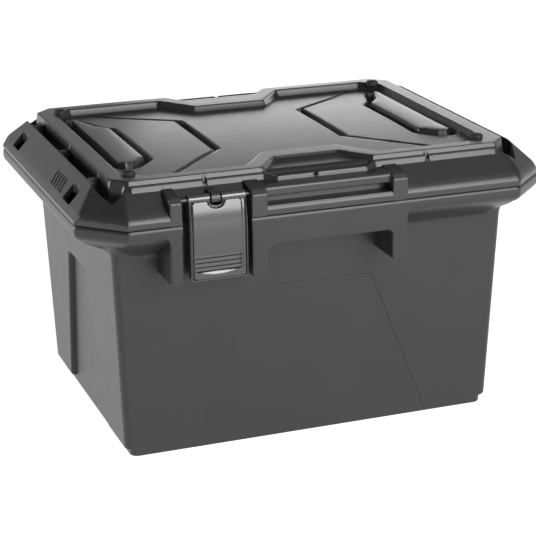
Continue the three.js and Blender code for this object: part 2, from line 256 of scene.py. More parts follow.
def boolean(piece, operation, tools):
    """Joins, cuts or intersects the piece with each tool in turn, and removes the tools."""
    for tool in tools:
        step = piece.modifiers.new("step", "BOOLEAN")
        step.operation, step.object, step.solver = operation, tool, "MANIFOLD"
    bpy.context.view_layer.update()
    graph = bpy.context.evaluated_depsgraph_get()
    mesh = bpy.data.meshes.new_from_object(piece.evaluated_get(graph))
    piece.modifiers.clear()
    piece.data = mesh
    for tool in tools:
        bpy.data.objects.remove(tool)
    return piece


def finish_surface(piece, angle=38):
    """Smooth shading with true creases, and flat faces kept flat beside their rounded edges."""
    piece.data.shade_smooth()
    piece.data.set_sharp_from_angle(angle=math.radians(angle))
    weigh = piece.modifiers.new("weigh", "WEIGHTED_NORMAL")
    weigh.keep_sharp = True
    weigh.weight = 100
    return piece


# ---------------------------------------------------------------- height fields

LINE_GAP = 0.16                              # grid lines closer than this are left out


def grid_lines(low, high, step, edges, spread):
    """Lines every step, with closer ones around each edge."""
    near = [e + s for e in edges for s in spread]
    values = np.unique(np.concatenate([np.arange(low, high + step / 2, step), near]))
    kept = [values[0]]
    for v in values[1:]:
        if v - kept[-1] > LINE_GAP:
            kept.append(v)
    return np.array(kept)


def near_line(x, y, points):
    """Distance to an open line through the points."""
    best = np.full(x.shape, np.inf)
    for (ax, ay), (bx, by) in zip(points, points[1:]):
        ex, ey = bx - ax, by - ay
        t = np.clip(((x - ax) * ex + (y - ay) * ey) / (ex * ex + ey * ey), 0, 1)
        best = np.minimum(best, np.hypot(x - ax - t * ex, y - ay - t * ey))
    return best


def distance(x, y, corners):
    """Signed distance to a polygon, negative inside."""
    closed = [*corners, corners[0]]
    inside = np.zeros(x.shape, bool)
    for (ax, ay), (bx, by) in zip(closed, closed[1:]):
        if ay != by:
            inside ^= ((ay > y) != (by > y)) & (x < (bx - ax) * (y - ay) / (by - ay) + ax)
    best = near_line(x, y, closed)
    return np.where(inside, -best, best)


def ramp(d, width):
    """1 well inside, 0 well outside, with an S-shaped wall of that width between."""
    t = np.clip(0.5 - d / width, 0, 1)
    return t * t * (3 - 2 * t)


def mix(a, b, s):
    """a where s is 0, b where s is 1."""
    return a + (b - a) * s


def smooth_min(a, b, k):
    """The lower of two heights, rounded over a span k where they cross."""
    h = np.clip(0.5 + 0.5 * (b - a) / k, 0, 1)
    return b * (1 - h) + a * h - k * h * (1 - h)


def field_solid(name, xs, ys, height, z0):
    """A closed solid under a height field, down to z0."""
    x, y = np.meshgrid(xs, ys)
    z = height(x, y)
    rows, cols = x.shape
    top = np.stack([x, y, z], 2).reshape(-1, 3)
    index = np.arange(rows * cols).reshape(rows, cols)
    rim = np.concatenate([index[0, :-1], index[:-1, -1], index[-1, :0:-1], index[:0:-1, 0]])
    low = top[rim].copy()
    low[:, 2] = z0
    middle = [[(xs[0] + xs[-1]) / 2, (ys[0] + ys[-1]) / 2, z0]]
    points = np.concatenate([top, low, middle])
    a, b, c, d = index[:-1, :-1], index[:-1, 1:], index[1:, 1:], index[1:, :-1]
    faces = np.stack([a, b, c, d], 2).reshape(-1, 4).tolist()
    start, count = rows * cols, len(rim)
    hub = start + count
    for i in range(count):
        j = (i + 1) % count
        faces.append([start + i, start + j, int(rim[j]), int(rim[i])])
        faces.append([hub, start + j, start + i])
    return make(name, points, faces)


# -------------------------------------------------------------------- outlines

CORNER_POINTS = 5


def octagon(hx, hy, cx, cy, radius):
    """An oblong with cut corners, rounded where the cuts meet the sides: CORNER_POINTS at each bend."""
    return fillet([
        (-hx + cx, -hy, radius), (hx - cx, -hy, radius), (hx, -hy + cy, radius), (hx, hy - cy, radius),
        (hx - cx, hy, radius), (-hx + cx, hy, radius), (-hx, hy - cy, radius), (-hx, -hy + cy, radius),
    ], CORNER_POINTS - 1)


def oblong(hx, hy, radius):
    """An oblong whose corners are quarter circles, with as many points as an octagon."""
    cut = radius * (2 - math.sqrt(2)) * 1.0001
    return octagon(hx, hy, cut, cut, radius)


def with_leads(ring, lead_x, lead_y):
    """The ring with a point put in on each side, a lead away from each cut corner."""
    hx, hy = max(x for x, _ in ring), max(y for _, y in ring)
    out = []
    ring = ring[-CORNER_POINTS:] + ring[:-CORNER_POINTS]     # from the front left cut, anticlockwise
    for k, (sx, sy) in enumerate(((-1, -1), (1, -1), (1, 1), (-1, 1))):
        cut = ring[2 * CORNER_POINTS * k:2 * CORNER_POINTS * (k + 1)]
        along_x, along_y = (sx * (hx - lead_x), sy * hy), (sx * hx, sy * (hy - lead_y))
        first, last = (along_y, along_x) if k in (0, 2) else (along_x, along_y)
        out += [first, *cut, last]
    return out


WALL_LEADS, RIM_LEADS = (17.4, 9.2), (36.2, 34.9)
FLARE_LIFT, END_LIFT = 6.4, 2.9             # the slanted underside meets the wall higher at corners and ends


def lifts():
    """How far each ring point's foot of the flare lies above its height on the long sides."""
    cut = [FLARE_LIFT] * (2 * CORNER_POINTS)
    return [END_LIFT, *cut, 0.0, 0.0, *cut, END_LIFT] * 2


def wall(z, grow_x, grow_y, radius=CORNER_R):
    """A ring round the drafted wall, moved outwards."""
    ring = oblong(BASE_X + DRAFT_X * z + grow_x, BASE_Y + DRAFT_Y * z + grow_y, radius)
    return [(x, y, z) for x, y in with_leads(ring, *WALL_LEADS)]


def rim(z, inset=0.0, radius=5.0):
    """A ring round the rim, moved inwards."""
    cut_x, cut_y = CUT_X - inset * CUT_SHRINK, CUT_Y - inset * CUT_SHRINK
    ring = octagon(RIM_X - inset, RIM_Y - inset, cut_x, cut_y, radius)
    return [(x, y, z) for x, y in with_leads(ring, *RIM_LEADS)]


# ------------------------------------------------------------------------- tub

def flare(share):
    """A ring part of the way from the wall to the rim, on the slanted underside."""
    ring = []
    for low, high, lift in zip(wall(FLARE_Z, PILLAR, 0), rim(SKIRT_Z), lifts()):
        foot = Vector((low[0], low[1], FLARE_Z + lift))
        ring.append(tuple(foot.lerp(Vector(high), share)))
    return ring


def blended(before, corner, after, steps=5):
    """Rings round a bend from one ring to another, pulled towards the ring at its corner."""
    rings = []
    for t in np.linspace(0, 1, steps + 1):
        a, b, c = (1 - t) ** 2, 2 * t * (1 - t), t * t
        points = zip(before, corner, after)
        rings.append([tuple(Vector(p) * a + Vector(q) * b + Vector(r) * c) for p, q, r in points])
    return rings


def end_panel(name, depth, grow):
    """A trapezoid block over the +X end wall, its inner face depth inside the pillars' plane."""
    def outline(widen):
        return fillet([
            (-END_BOTTOM - 2 - widen, -8, 0), (END_BOTTOM + 2 + widen, -8, 0),
            (END_TOP + widen, PANEL_TOP + widen, 7), (-END_TOP - widen, PANEL_TOP + widen, 7),
        ])
    rings = []
    for out, widen in ((-depth, 0), (-1.3, 0.5), (-0.6, 0.9), (-0.15, 1.6), (0.02, 2.6), (FAR, 2.6)):
        face = BASE_X + PILLAR + out
        rings.append([(face + DRAFT_X * z, y, z) for y, z in outline(widen + grow)])
    return loft(name, rings)


def side_panel(name):
    """The shallow trapezoid pressed into the -Y wall."""
    def outline(widen):
        return fillet([
            (-SIDE_BOTTOM - 3 - widen, -8, 0), (SIDE_BOTTOM + 3 + widen, -8, 0),
            (SIDE_TOP + widen, PANEL_TOP + widen, 9), (-SIDE_TOP - widen, PANEL_TOP + widen, 9),
        ], 8)
    rings = []
    for out, widen in ((SIDE_DEPTH, 0), (0.15, 0.5), (0.0, 1.0), (-FAR, 1.0)):
        rings.append([(x, -BASE_Y + out - DRAFT_Y * z, z) for x, z in outline(widen)])
    return loft(name, rings)


def merged(name, pieces):
    """Several closed solids that don't touch, as one mesh."""
    b = bmesh.new()
    for piece in pieces:
        b.from_mesh(piece.data)
    mesh = bpy.data.meshes.new(name)
    b.to_mesh(mesh)
    b.free()
    for piece in pieces:
        bpy.data.objects.remove(piece)
    result = bpy.data.objects.new(name, mesh)
    bpy.context.scene.collection.objects.link(result)
    return result


def tie_holes():
    """Cutting tools for the four tie holes."""
    holes, through = [], [(150, 0), (SEAM_Z + 50, 0)]
    for y0, y1 in (TIE_Y, (-TIE_Y[1], -TIE_Y[0])):
        corners = [(TIE_X[0], y0, 1.5), (TIE_X[1], y0, 1.5), (TIE_X[1], y1, 1.5), (TIE_X[0], y1, 1.5)]
        holes.append(stack("tie", fillet(corners), through))
    return merged("ties", both(*holes))


def tub_shell():
    """The outside: plinth, drafted walls, slanted flare, skirt and rim, with the posts and grip arches."""
    shell = loft("tub_shell", [
        wall(0, -1.4, -1.4), wall(0.35, -0.6, -0.7), wall(1.2, 0, -0.3), wall(PLINTH_Z - 0.6, 0, -0.3),
        wall(PLINTH_Z, 1.6, -0.2), wall(PLINTH_Z + 0.5, PILLAR - 1.1, 0),
        wall(PLINTH_Z + 1.2, PILLAR - 0.4, 0), wall(PLINTH_Z + 2.4, PILLAR, 0),
        *blended(wall(FLARE_Z - 5, PILLAR, 0), flare(0), flare(0.22)),
        *blended(flare(0.66), rim(SKIRT_Z), rim(SKIRT_Z + SKIRT_ROLL), 7),
        rim(SEAM_Z),
    ])
    skirt_top = SKIRT_Z + SKIRT_ROLL
    post = fillet([
        (POST_X[0] - 11, SEAM_Z, 0), (POST_X[0] - 11, skirt_top, 0), (POST_X[0], skirt_top, 9),
        (POST_X[0], LEG_Z, 2), (POST_X[1], LEG_Z, 2), (POST_X[1], SEAM_Z, 0),
    ])
    arch = fillet([
        (-LEG_X[1], SEAM_Z, 0), (-LEG_X[1], LEG_Z, 2), (-LEG_X[0], LEG_Z, 2), (-LEG_X[0], APRON_Z, 9),
        (LEG_X[0], APRON_Z, 4), (LEG_X[0], LEG_Z, 2), (LEG_X[1], LEG_Z, 2), (LEG_X[1], skirt_top, 9),
        (LEG_X[1] + 11, skirt_top, 0), (LEG_X[1] + 11, SEAM_Z, 0),
    ])
    depth = rounded_layers(MERGE_Y, -RIM_Y, 0, 1.3)
    backing = block("backing", POST_X[0] + 1, -LEG_X[0] - 1, POCKET_BACK, MERGE_Y, LEG_Z, SEAM_Z - 2)
    fronts = both(stack("post", post, depth, "y"), stack("arch", arch, depth, "y"), backing)
    shell = boolean(shell, "UNION", fronts)
    chamfer = (
        (-20, -0.05), (SEAM_Z - 2.6, -0.05), (SEAM_Z - 2.0, 0.06), (SEAM_Z - 0.7, 0.5),
        (SEAM_Z - 0.2, 0.85), (SEAM_Z, 1.4))
    return boolean(shell, "INTERSECT", [loft("edge", [rim(z, inset) for z, inset in chamfer])])


def finger_room():
    """The space behind the grip's apron, up to the tub's wall."""
    front, back = -RIM_Y + 4.2, -118
    section = ((front, LEG_Z - 20), (front, SKIRT_Z - 2.4), (back, FLARE_Z - 1), (back, LEG_Z - 20))
    sides = (-LEG_X[0] + 0.01, LEG_X[0] - 0.01)
    room = loft("finger_room", [[(x, y, z) for y, z in section] for x in sides])
    keep_wall = loft("keep_wall", [wall(0, PILLAR, 0), wall(FLARE_Z + 2, PILLAR, 0)])
    return boolean(room, "DIFFERENCE", [keep_wall])


def cavity():
    """The inside, with a rounded floor and mouth, drawn in behind each end panel."""
    def inside(z, grow, radius=3):
        return wall(z, PILLAR - WALL + grow, -WALL + grow, radius)
    room = loft("cavity", [
        inside(FLOOR, -3), inside(FLOOR + 0.8, -1), inside(FLOOR + 3, 0), inside(SEAM_Z - 0.8, 0),
        inside(SEAM_Z + 0.1, 0.8, 3.8), inside(SEAM_Z + 5, 0.8, 3.8),
    ])
    return boolean(room, "DIFFERENCE", both(end_panel("bulge", PILLAR + WALL, WALL)))


def gutter():
    """The hollow between the upright inner wall and the skirt, solid behind the posts and pockets."""
    foot = zip(wall(FLARE_Z, PILLAR + 0.6, 0.6), lifts())
    low = [(x, y, FLARE_Z + 5 + lift) for (x, y, _), lift in foot]
    trough = loft("gutter", [low, *[rim(z, WALL, 4) for z in (SKIRT_Z + 3, SEAM_Z + 5)]])
    inner = loft("inner", [wall(150, PILLAR, 0), wall(SEAM_Z + 20, PILLAR, 0)])
    solid_part = block("solid_part", POST_X[0] - 3, -LEG_X[0] + 2, -RIM_Y - 5, -110, 150, 240)
    return boolean(trough, "DIFFERENCE", [inner, *both(solid_part)])


def make_tub():
    """The tub: shell, cavity, gutter, latch pockets with their catch bars, and the pressed-in panels."""
    pocket = block("pocket", POST_X[1], -LEG_X[1], -RIM_Y - FAR, POCKET_BACK, LEG_Z - FAR, SEAM_Z + FAR)
    tub = boolean(tub_shell(), "DIFFERENCE", [
        cavity(), gutter(), *both(pocket, finger_room()), tie_holes(),
        *both(end_panel("end_panel", PILLAR, 0), side_panel("side_panel")),
    ])
    return boolean(tub, "UNION", both(block("catch", *CATCH_X, *CATCH_Y, *CATCH_Z, 0.6)))


# ------------------------------------------------------------------------- lid

BEYOND = -60.0                               # where quadrant outlines close, past the axes
OUTSIDE = 260.0                              # where outlines close that run out over the long side
CREST = 1.6                                  # how softly the sloping faces meet

BEAD_Y, BEAD_END, BEAD_CUT = TOP_Y + 3.8, TOP_X, TOP_CUT + 1.2
BAY_FRONT, BAY_BACK, BAY_HALF = 141.0, 103.0, 38.5
NOTCHES, NOTCH_DEPTH, NOTCH_REACH = (-96.0, -6.0, 94.0), 3.0, 5.5
FIELD_Y, FIELD_CROWN = 118.5, 2.0
CROSS_DEPTH, LINE_DEPTH, CHANNEL_DEPTH, PAD_RISE = 6.0, 3.6, 6.2, 3.2

# Outlines seen from above. The first three are one quarter of the lid, the rest its +X half.
BORDER = [
    (BEYOND, BAY_BACK), (27, BAY_BACK), (47, TOP_Y - 0.2), (TOP_X - TOP_CUT, TOP_Y - 0.2),
    (TOP_X, TOP_Y - TOP_CUT), (TOP_X, BEYOND), (BEYOND, BEYOND)]
FIELD = [
    (BEYOND, 86), (33, 86), (57, FIELD_Y), (140, FIELD_Y), (156, 104), (156, BEYOND), (BEYOND, BEYOND)]
TRENCH = [(WING_X, BEYOND), (WING_X, 116), (171.5, 136.8), (162, 133), (158, 116), (158, BEYOND)]
CROSS_GROOVE = [(57, 54), (57, -45)]
FINE_LINES = ([(59, 58), (102, 88), (122, 107)], [(59, -49), (100, -91), (116, -107)])
END_PAD = [(121, 47), (131, 60), (141, 89), (147, 87), (148, -66), (142, -73), (133, -70), (121, -56)]


def near_side(x, y):
    """x as seen from whichever long side is nearer."""
    return np.where(y < 0, x, -x)


def from_rim(ax, ay):
    """Signed distance to the rim's outline in one quarter, negative inside."""
    return distance(ax, ay, [
        (BEYOND, BEYOND), (BEYOND, RIM_Y), (RIM_X - CUT_X, RIM_Y), (RIM_X, RIM_Y - CUT_Y), (RIM_X, BEYOND)])


def lid_base(x, y):
    """The sloping form: end wings, long flanks and cut corners."""
    ax, ay = np.abs(x), np.abs(y)
    wing = END_LIP + (RIM_X - ax) * (WING_Z - END_LIP) / (RIM_X - WING_X)
    flank = SIDE_LIP + (RIM_Y - ay) * (FLANK_Z - SIDE_LIP) / (RIM_Y - FLANK_Y)
    size = math.hypot(CUT_X, CUT_Y)
    inward = ((RIM_X - CUT_X - ax) * CUT_Y + (RIM_Y - ay) * CUT_X) / size
    corner = CUT_LIP + inward * CUT_SLOPE
    return smooth_min(smooth_min(smooth_min(wing, flank, CREST), corner, CREST), WING_Z, CREST)


def rounded_lip(z, edge):
    """The height with its outermost edge turned down along a quarter of an ellipse."""
    t = np.clip(-edge, 0, LIP) / LIP
    return z - np.clip(z - LID_Z - LIP_FOOT, 0, LIP) * (1 - np.sqrt(1 - (1 - t) ** 2))


def raised_border(z, side, ax, ay):
    """The height with the border, the bead outside it and the bay between them on the long sides."""
    bead = distance(ax, ay, [
        (BEYOND, BAY_FRONT), (BAY_HALF, BAY_FRONT), (BAY_HALF + 9, BEAD_Y), (BEAD_END - BEAD_CUT, BEAD_Y),
        (BEAD_END, BEAD_Y - BEAD_CUT), (BEAD_END, BEYOND), (BEYOND, BEYOND)])
    border = distance(ax, ay, BORDER)
    in_bay = ramp(ax - BAY_HALF - 6, 4.0) * ramp(BAY_BACK - 1 - ay, 2.0)
    slope = BAY_Z - (ay - BAY_BACK) * BAY_FALL + 2.0 * ramp(-bead - 3.6, 1.6)
    z = mix(z, np.maximum(z, mix(BEAD_Z, slope, in_bay)), ramp(bead + 0.4, 1.9))
    notch = sum(ramp(np.abs(side - c) - 1.2, 1.0) for c in NOTCHES)
    reach = ramp(bead, 0.9) * (1 - ramp(border, 0.9)) * ramp(-bead - NOTCH_REACH, 2.0)
    z = z - notch * NOTCH_DEPTH * reach
    return mix(z, TOP_Z - 0.0025 * np.maximum(0, 6 + border) ** 2, ramp(border, 1.6))


def sunk_field(ax, y):
    """The crowned field with its grooves, and a raised pad with a channel round it at each end."""
    field = FIELD_Z + FIELD_CROWN * (1 - (y / (FIELD_Y - 0.5)) ** 2)
    field -= CROSS_DEPTH * ramp(near_line(ax, y, CROSS_GROOVE) - 3.0, 2.6)
    for points in FINE_LINES:
        field -= LINE_DEPTH * ramp(near_line(ax, y, points) - 1.1, 1.9)
    pad = distance(ax, y, END_PAD)
    field -= CHANNEL_DEPTH * ramp(pad - 4.6, 3.2)
    crown = np.clip(-pad, 0, 12) / 12
    return mix(field, FIELD_Z + PAD_RISE + 1.2 * np.sqrt(1 - (1 - crown) ** 2), ramp(pad + 0.8, 2.4))


def lid_top(x, y):
    """The lid's upper surface."""
    ax, ay, side = np.abs(x), np.abs(y), near_side(x, y)
    z = rounded_lip(lid_base(x, y), from_rim(ax, ay))
    rib = sum(ramp(np.abs(y - c) - 1.3, 0.9) for c in RIBS)
    floor = TRENCH_Z + rib * (WING_Z - 1.6 - TRENCH_Z)
    z = mix(z, np.minimum(z, floor), ramp(distance(ax, ay, TRENCH), 1.8))
    z = raised_border(z, side, ax, ay)
    z = mix(z, sunk_field(ax, y), ramp(distance(ax, ay, FIELD) + 1.2, 3.4))
    # Finger groove under the rail, and the latch pocket.
    grip = distance(side, ay, [
        (-LEG_X[0], -GRIP_BACK), (LEG_X[0], -GRIP_BACK), (LEG_X[0], OUTSIDE), (-LEG_X[0], OUTSIDE)])
    z = mix(z, np.minimum(z, GRIP_Z), ramp(grip, 0.9))
    back = -POCKET_BACK - 2
    pocket = distance(side, ay, [
        (POST_X[1], back), (-LEG_X[1], back), (-LEG_X[1], OUTSIDE), (POST_X[1], OUTSIDE)])
    return mix(z, LID_Z - 3, ramp(pocket, 0.8))


def lid_hollow(x, y):
    """How high the hollow under the flange goes; below the lid where there is none."""
    ax, ay, side = np.abs(x), np.abs(y), near_side(x, y)
    inner = distance(ax, ay, [(BEYOND, BEYOND), (BEYOND, INNER_Y), (INNER_X, INNER_Y), (INNER_X, BEYOND)])
    z = np.minimum(lid_base(x, y) - 5.5, np.where(ax > INNER_X - 6, TRENCH_Z - 3.4, 250))
    left, right, back = POST_X[0] + 1, -LEG_X[0] - 1, -POCKET_BACK - 6
    keep = distance(side, ay, [(left, back), (right, back), (right, OUTSIDE), (left, OUTSIDE)])
    over_grip = (np.abs(side) < LEG_X[1] + 2) & (ay > -GRIP_BACK - 4)
    z = np.where(over_grip, np.minimum(z, GRIP_Z - 3.6), z)
    cut = ramp(from_rim(ax, ay) + WALL, 0.6) * ramp(-inner, 0.6) * ramp(-keep, 0.6)
    return mix(LID_Z - 8, z, cut)


def lid_post(name, x0, x1):
    """A post on the lid's flank, with a rounded nose."""
    back, top = -TOP_Y + 4, 229.6
    outline = fillet([
        (-RIM_Y, LID_Z, 0.5), (back, LID_Z, 0), (back, top, 0), (-FLANK_Y, top, 0),
        (-RIM_Y + 3.5, top - 2.2, 2.5), (-RIM_Y, top - 6.2, 2.5),
    ])
    return stack(name, outline, rounded_layers(x0, x1, 1.2, 1.2), "x")


def bar_x(name, x0, x1, y, z, radius, edge=0.4):
    """A round bar along X."""
    return stack(name, circle(y, z, radius), rounded_layers(x0, x1, edge, edge, 3), "x")


def wing_ridge(y):
    """A slanted grip ridge on the -X wing."""
    slope = (WING_Z - END_LIP) / (RIM_X - WING_X)
    low, high, r = -196.0, -187.5, 0.3
    outline = fillet([(low, y - 1.6, r), (high, y + 3.6, r), (high, y + 6.8, r), (low, y + 1.6, r)], 3)
    rings = [[(u, v, END_LIP + (u + RIM_X) * slope + up) for u, v in inset_outline(outline, inset)]
             for up, inset in ((-2.0, 0), (0.3, 0), (0.7, 0.5))]
    return loft("ridge", rings)


def both_ways(*values):
    """Each value and its opposite."""
    return [s * v for v in values for s in (-1, 1)]


def lid_body():
    """The lid's outer form, cut to the rim's outline."""
    spread = (-0.75, -0.4, 0.0, 0.4, 0.75)
    x_edges = both_ways(TOP_X, WING_X, 156.0, 148.0, 121.0, *LEG_X, POST_X[1], *NOTCHES)
    y_edges = both_ways(TOP_Y, BEAD_Y, FIELD_Y, BAY_BACK, 86.0, BAY_FRONT, *RIBS, 146.0, GRIP_BACK,
                        -POCKET_BACK - 2)
    xs = grid_lines(-RIM_X - 3, RIM_X + 3, LID_GRID, x_edges, spread)
    ys = grid_lines(-RIM_Y - 3, RIM_Y + 3, LID_GRID, y_edges, spread)
    body = field_solid("lid_body", xs, ys, lid_top, LID_Z - 20)
    layers = [(LID_Z, 1.2), (LID_Z + 0.2, 0.6), (LID_Z + 0.6, 0.2), (LID_Z + 1.2, 0), (TOP_Z + FAR, 0)]
    outline = octagon(RIM_X, RIM_Y, CUT_X, CUT_Y, 5.0)
    return boolean(body, "INTERSECT", [stack("lid_outline", outline, layers)])


def lid_fittings():
    """What stands on the lid: rails, knuckles between the latch barrels, posts and wing ridges."""
    back = -TOP_Y + 2
    rail = stack("rail", fillet([
        (RAIL_Y, RAIL_Z[0], 1.4), (back, RAIL_Z[0], 0), (back, RAIL_Z[1], 0), (RAIL_Y, RAIL_Z[1], 3.2),
    ], 7), [(-LEG_X[0] - 1, 0), (LEG_X[0] + 1, 0)], "x")
    nose, foot, top = PIVOT_Y - BARREL_R, PIVOT_Z - BARREL_R, PIVOT_Z + BARREL_R
    knuckle = stack("knuckle", fillet([
        (nose, foot, 4.2), (-TOP_Y, foot, 0), (-TOP_Y, top - 1, 0), (PIVOT_Y + 2, top, 1.5), (nose, top, 4.2),
    ]), rounded_layers(*KNUCKLE_X, 0.5, 0.5), "x")
    posts = [lid_post("post", *ends) for ends in (POST_X, (-LEG_X[1], -LEG_X[0]), LEG_X)]
    ridges = [wing_ridge(RIDGE_Y - RIDGE_PITCH * k) for k in range(RIDGES)]
    return [*both(rail, knuckle, *posts), merged("ridges", both(*ridges))]


def under_flange():
    """The cutting tool for the hollow under the lid's flange."""
    x_edges = both_ways(INNER_X, RIM_X - WALL, LEG_X[0] + 1, LEG_X[1] + 2, -POST_X[0] - 1)
    y_edges = both_ways(INNER_Y, RIM_Y - WALL, -POCKET_BACK - 6, -GRIP_BACK + 4)
    spread = (-0.35, 0.0, 0.35)
    xs = grid_lines(-RIM_X - 4, RIM_X + 4, 4, x_edges, spread)
    ys = grid_lines(-RIM_Y - 4, RIM_Y + 4, 4, y_edges, spread)
    return field_solid("hollow", xs, ys, lid_hollow, LID_Z - 30)


def make_lid():
    """The lid: outer form and fittings, hollow flange, the seal's seat, tie holes and pin bores."""
    body = boolean(lid_body(), "UNION", lid_fittings())
    # Known fault: this loft comes out inside-out, so it leaves a closed shell and no room below.
    room = stack("room", oblong(INNER_X - 6, INNER_Y - 6, 4), [
        (LID_Z - 20, 0), (CEILING_Z - 2, 0), (CEILING_Z, 2)])
    seat = stack("seat", oblong(INNER_X + 1, INNER_Y + 1, 5), [(LID_Z - 20, 0), (LID_Z + 3.1, 0)])
    bore = bar_x("bore", POST_X[0] + 3, -LEG_X[0] - 4, PIVOT_Y, PIVOT_Z, BORE_R, 0.1)
    return boolean(body, "DIFFERENCE", [under_flange(), room, seat, tie_holes(), *both(bore)])


# ----------------------------------------------------------------------- latch

def rounded_box(x, z, x0, x1, z0, z1, r):
    """Signed distance to an upright oblong with rounded corners, negative inside."""
    qx = np.abs(x - (x0 + x1) / 2) - (x1 - x0) / 2 + r
    qz = np.abs(z - (z0 + z1) / 2) - (z1 - z0) / 2 + r
    return np.minimum(np.maximum(qx, qz), 0) + np.hypot(np.maximum(qx, 0), np.maximum(qz, 0)) - r


def grip_bars(z):
    """Depth of the grip bars, each leaning back from a proud lower edge, and of the gaps between them."""
    row = (GRIP_TOP - z) / GRIP_PITCH
    share = row - np.floor(row)
    return np.where(share < BAR_SHARE, 0.8 - 0.2 * share / BAR_SHARE, 1.7)


def latch_depth(x, z):
    """How far the closed latch's face lies behind its foremost plane."""
    x0, x1, foot = latch_low.x, latch_high.x, latch_low.z
    from_notch = np.hypot(x - KNUCKLE_MID, z - NOTCH_Z)
    outline = rounded_box(x, z, x0, x1, foot, LATCH_TOP, LATCH_CORNER)
    edge = np.maximum(outline, NOTCH_R - from_notch)
    panel = rounded_box(x, z, x0 + 2.8, x1 - 4.4, foot + 1.6, LATCH_TOP - 2.6, 2.6)
    face = np.maximum(panel, NOTCH_R + 2.2 - from_notch)
    bow = np.clip(z - LATCH_BEND, 0, 40)
    bowed = LATCH_BOW - np.sqrt(LATCH_BOW ** 2 - bow ** 2)
    bead = mix(0.4, 1.8, ramp(edge + 1.5, 0.9))
    reach = np.hypot((x - KNUCKLE_MID) / SCOOP_X, np.minimum(z - SCOOP_Z, 0) / SCOOP_R)
    scoop = 1.4 * ramp((reach - 0.72) * SCOOP_R, 4.2) * ramp(z - 177.0, 9.0)
    grip_foot = GRIP_TOP - GRIP_BARS * GRIP_PITCH
    bars = rounded_box(x, z, *GRIP_X, grip_foot, GRIP_TOP, 1.5)
    inside = mix(scoop, grip_bars(z), ramp(bars + 0.3, 0.6))
    t = np.clip(-edge, 0, LATCH_EDGE)
    turned_down = LATCH_EDGE - np.sqrt(LATCH_EDGE ** 2 - (LATCH_EDGE - t) ** 2)
    return bowed + mix(bead, inside, ramp(face, 1.0)) + turned_down


def make_latch():
    """The closed latch: bowed glossy face inside a bead, split barrels, grip bars and a finger scoop."""
    x0, x1, front, foot = latch_low.x, latch_high.x, -RIM_Y, latch_low.z
    inner = front + 5
    section = [
        (front - 4, foot), (front + 7, foot), (inner, 163.0), (inner, 167.4), (PIVOT_Y, HOOK_Z[0]),
        (PIVOT_Y, HOOK_Z[1]), (inner, HOOK_Z[1]), (inner, 214.6), (PIVOT_Y, PIVOT_Z - ROLL_R + 0.4),
        (PIVOT_Y, LATCH_TOP), (front - 4, LATCH_TOP)]
    body = stack("latch_body", section, [(x0, 0), (x1, 0)], "x")
    xs, zs = np.arange(x0 - 1, x1 + 1.2, 0.5), np.arange(foot - 1, LATCH_TOP + 1.2, 0.4)
    face = field_solid("latch_face", xs, zs, lambda x, z: -front - latch_depth(x, z), -front - 14)
    face.data.transform(Matrix.Rotation(math.pi / 2, 4, "X"))
    corners = [(x0, foot), (x1, foot), (x1, LATCH_TOP), (x0, LATCH_TOP)]
    outline = fillet([(*corner, LATCH_CORNER) for corner in corners], 8)
    outer = stack("latch_outline", outline, [(front - 6, 0), (front + 14, 0)], "y")
    body = boolean(body, "INTERSECT", [face, outer])
    gap0, gap1 = KNUCKLE_X[0] - 0.5, KNUCKLE_X[1] + 0.5
    barrels = [bar_x("barrel", *ends, PIVOT_Y, PIVOT_Z, ROLL_R, 1.0) for ends in ((x0, gap0), (gap1, x1))]
    body = boolean(body, "UNION", barrels)
    notch = circle(KNUCKLE_MID, NOTCH_Z, NOTCH_R)
    return boolean(body, "DIFFERENCE", [
        block("gap", gap0, gap1, front - 5, PIVOT_Y + 12, PIVOT_Z - BARREL_R - 0.6, PIVOT_Z + 20),
        stack("notch", notch, [(front - 5, 0), (PIVOT_Y - 0.1, 0)], "y"),
        bar_x("bore", x0 - 1, x1 + 1, PIVOT_Y, PIVOT_Z, BORE_R, 0.1),
        *[block("side", *ends, inner, -149, foot - 1, 173) for ends in ((x0 - 1, x0 + 7), (x1 - 7, x1 + 1))]])


# ------------------------------------------------------------------------ pads

def make_pad(name, node):
    """A rubber stud: low collar, rounded dome."""
    low, high = box_mm(node)
    cx, cy = (low.x + high.x) / 2, (low.y + high.y) / 2
    radius, collar = (high.x - low.x) / 2, TOP_Z + 2.0
    dome_r = radius - 0.5
    profile = [
        (radius, low.z + 0.02), (radius, collar - 0.7), (radius - 0.15, collar - 0.25), (dome_r, collar)]
    for k in range(1, 7):
        a = math.pi / 2 * k / 7
        profile.append((dome_r * math.cos(a), collar + (high.z - collar) * math.sin(a)))
    profile.append((0.4, high.z))
    return loft(name, [[(x, y, z) for x, y in circle(cx, cy, r, 40)] for r, z in profile])


# ------------------------------------------------------------------- materials

GLOSS_SPREAD, COAT_ROUGHNESS = 0.012, 0.12


